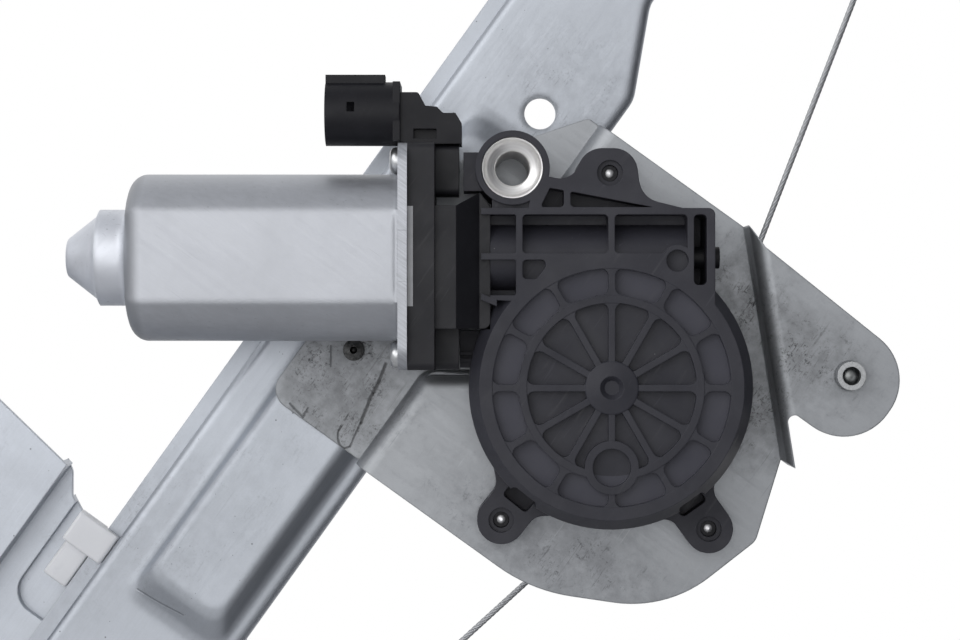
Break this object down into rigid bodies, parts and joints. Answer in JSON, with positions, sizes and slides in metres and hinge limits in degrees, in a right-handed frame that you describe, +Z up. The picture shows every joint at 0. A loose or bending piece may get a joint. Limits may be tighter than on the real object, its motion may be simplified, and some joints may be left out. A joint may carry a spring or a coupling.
{
  "type": "window regulator",
  "caption": "Electric window regulator: a pressed rail with a cable-driven glass carrier, end pulleys and a worm-geared motor on a sheet-metal plate.",
  "frame": {"origin": "centre of the rail's round bolt hole beside the motor, on the rail's front face", "axes": "+Z up along the rail, +X towards the gear housing, -Y out of the rail's front face"},
  "size_m": [0.2238, 0.0736, 0.642],
  "materials": {
    "galvanised": "galvanised sheet, satin",
    "galvanised_plate": "galvanised sheet, dull",
    "zinc_steel": "bright zinc plate",
    "dark_steel": "black zinc plate",
    "polished_steel": "polished",
    "can_steel": "plated, satin",
    "ribbed_plastic": "dark grey moulding",
    "dark_plastic": "black moulding",
    "connector_plastic": "black moulding",
    "grey_rubber": "matte grey",
    "black_rubber": "matte",
    "contact_brass": "tinned brass",
    "shaft_steel": "ground",
    "core_steel": "stamped stack",
    "copper_wire": "copper",
    "ferrite": "matte",
    "carbon": "carbon",
    "sintered_bronze": "sintered",
    "pale_plastic": "natural acetal",
    "drum_plastic": "grey acetal",
    "wire_rope": "galvanised wire rope",
    "white_plastic": "natural, slightly translucent"
  },
  "bodies": {
    "frame": {"rail": "galvanised", "motor_plate": "galvanised_plate", "plate_rivets": "zinc_steel", "arm_stud": "zinc_steel", "gear_housing": "ribbed_plastic", "mounting_bush": "polished_steel", "motor_can": "can_steel", "motor_screws": "zinc_steel", "brush_housing": "dark_plastic", "seal_strip": "grey_rubber", "connector": "connector_plastic", "connector_pins": "contact_brass", "magnets": "ferrite", "brushes": "carbon", "brush_springs": "contact_brass", "rear_bearing": "sintered_bronze", "front_bearing": "sintered_bronze", "thrust_plug": "dark_plastic", "thrust_ball": "polished_steel", "drum_axle": "shaft_steel", "drum_housing": "dark_plastic", "housing_screws": "dark_steel", "upper_cable": "wire_rope", "lower_cable": "wire_rope", "top_pulley_axle": "zinc_steel", "bottom_pulley_axle": "zinc_steel", "end_stops": "black_rubber"},
    "armature": {"armature_shaft": "shaft_steel", "armature_core": "core_steel", "windings": "copper_wire", "commutator": "copper_wire"},
    "drum": {"worm_wheel": "pale_plastic", "rubber_damper": "black_rubber", "driver": "pale_plastic", "cable_drum": "drum_plastic", "drum_cable_turns": "wire_rope"},
    "carrier": {"carrier_plate": "galvanised", "slider_clips": "white_plastic", "rear_guide": "white_plastic", "cable_block": "dark_plastic", "cable_ferrules": "zinc_steel", "glass_clamp": "dark_plastic", "clamp_pads": "black_rubber", "clamp_screws": "zinc_steel"},
    "top_pulley": {"top_pulley": "drum_plastic"},
    "bottom_pulley": {"bottom_pulley": "drum_plastic"}
  },
  "joints": [
    {"name": "armature_spin", "type": "hinge", "parent": "frame", "child": "armature", "pos_m": [0.03303, -0.026, -0.01966], "axis": [0.8121, 0, 0.5835], "range_deg": [-57844.4, 16018.4]},
    {"name": "drum_spin", "type": "hinge", "parent": "frame", "child": "drum", "pos_m": [0.0503, 0, -0.0437], "axis": [0, 1, 0], "range_deg": [-219.45, 792.47]},
    {"name": "carrier_slide", "type": "slide", "parent": "frame", "child": "carrier", "axis": [0, 0, 1], "range_m": [-0.09001, 0.32503]},
    {"name": "top_pulley_spin", "type": "hinge", "parent": "frame", "child": "top_pulley", "pos_m": [-0.003, 0, 0.212], "axis": [0, 1, 0], "range_deg": [-468.83, 1693]},
    {"name": "bottom_pulley_spin", "type": "hinge", "parent": "frame", "child": "bottom_pulley", "pos_m": [-0.003, 0, -0.355], "axis": [0, 1, 0], "range_deg": [-468.83, 1693]}
  ],
  "couplings": [
    {"joint": "drum_spin", "follows": "armature_spin", "ratio": -0.013699},
    {"joint": "carrier_slide", "follows": "armature_spin", "m_per_rad": -0.00032192},
    {"joint": "top_pulley_spin", "follows": "armature_spin", "ratio": -0.029265},
    {"joint": "bottom_pulley_spin", "follows": "armature_spin", "ratio": -0.029265}
  ]
}
